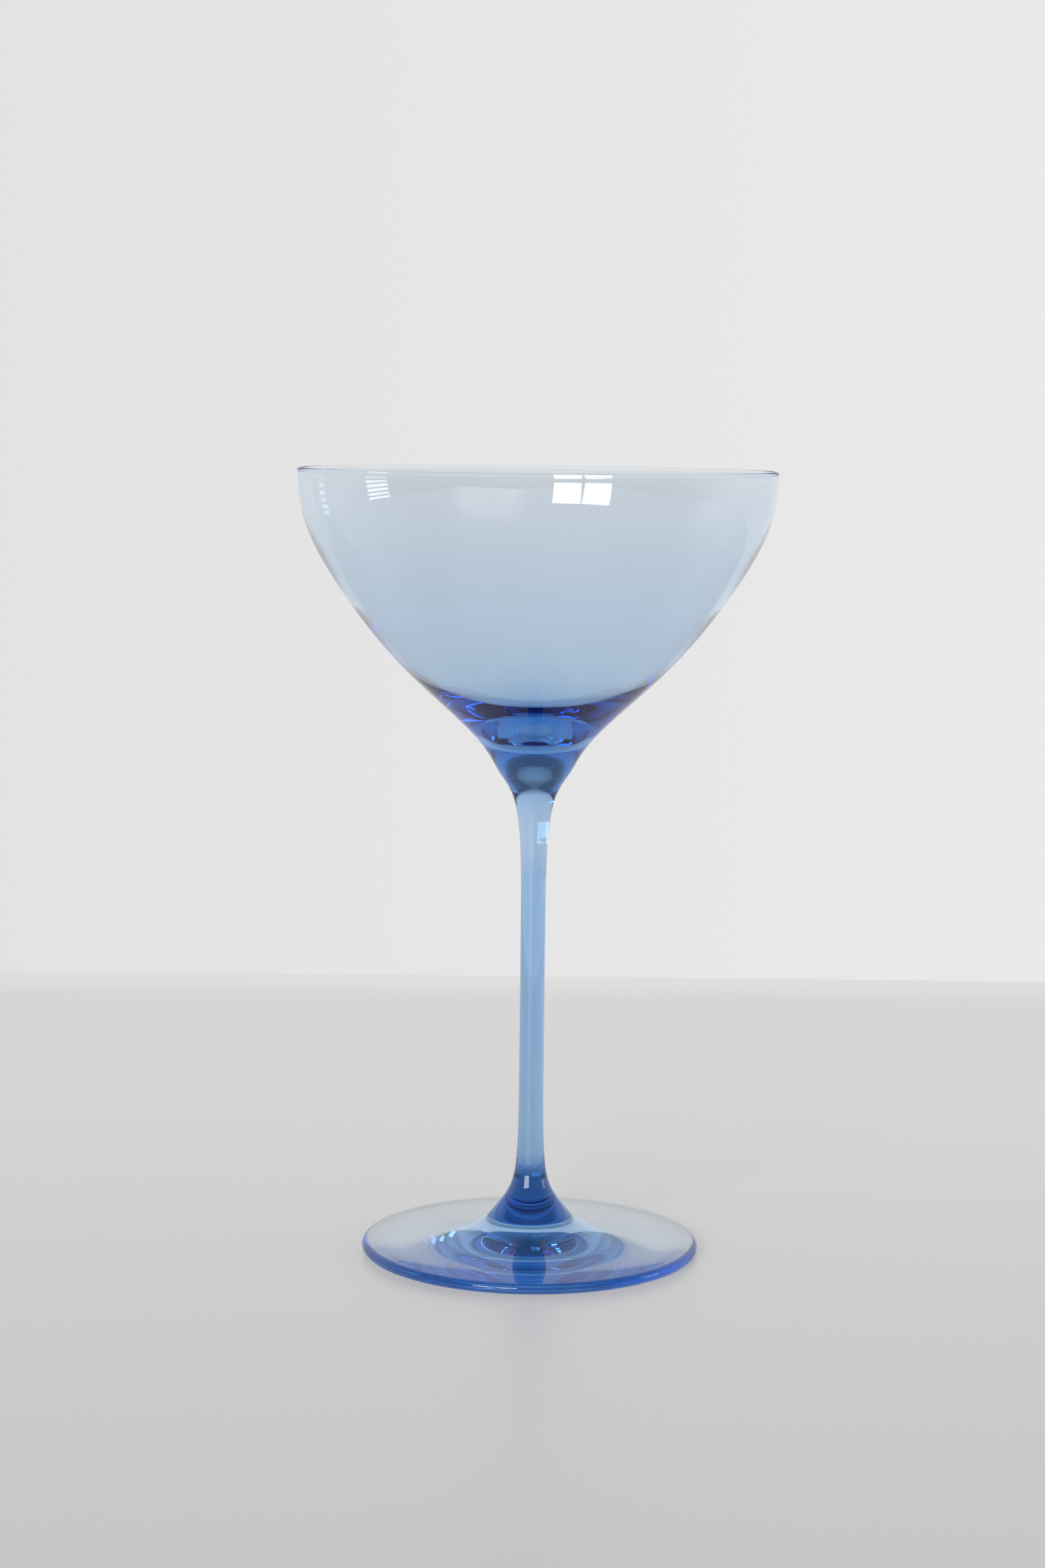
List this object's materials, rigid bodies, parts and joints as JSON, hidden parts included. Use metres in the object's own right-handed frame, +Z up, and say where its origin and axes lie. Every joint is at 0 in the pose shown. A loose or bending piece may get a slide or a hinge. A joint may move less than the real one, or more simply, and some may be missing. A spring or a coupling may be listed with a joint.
{
  "type": "stemmed cocktail glass",
  "caption": "Stemmed cocktail glass with a wide tapering bowl on a slender flared stem and a round disc foot.",
  "frame": {"origin": "middle of the foot's underside, on the surface that the glass stands on", "axes": "+Z up along the stem and the bowl's axis; the glass is round, so +X and +Y are any two level directions at right angles"},
  "size_m": [0.107, 0.107, 0.1778],
  "materials": {
    "bowl_glass": "clear polished blown glass, tinted pale blue all through",
    "stem_glass": "clear polished drawn glass, tinted blue all through",
    "foot_glass": "clear polished glass, tinted very pale blue all through"
  },
  "bodies": {
    "root": {"bowl": "bowl_glass", "stem": "stem_glass", "foot": "foot_glass"}
  },
  "joints": []
}
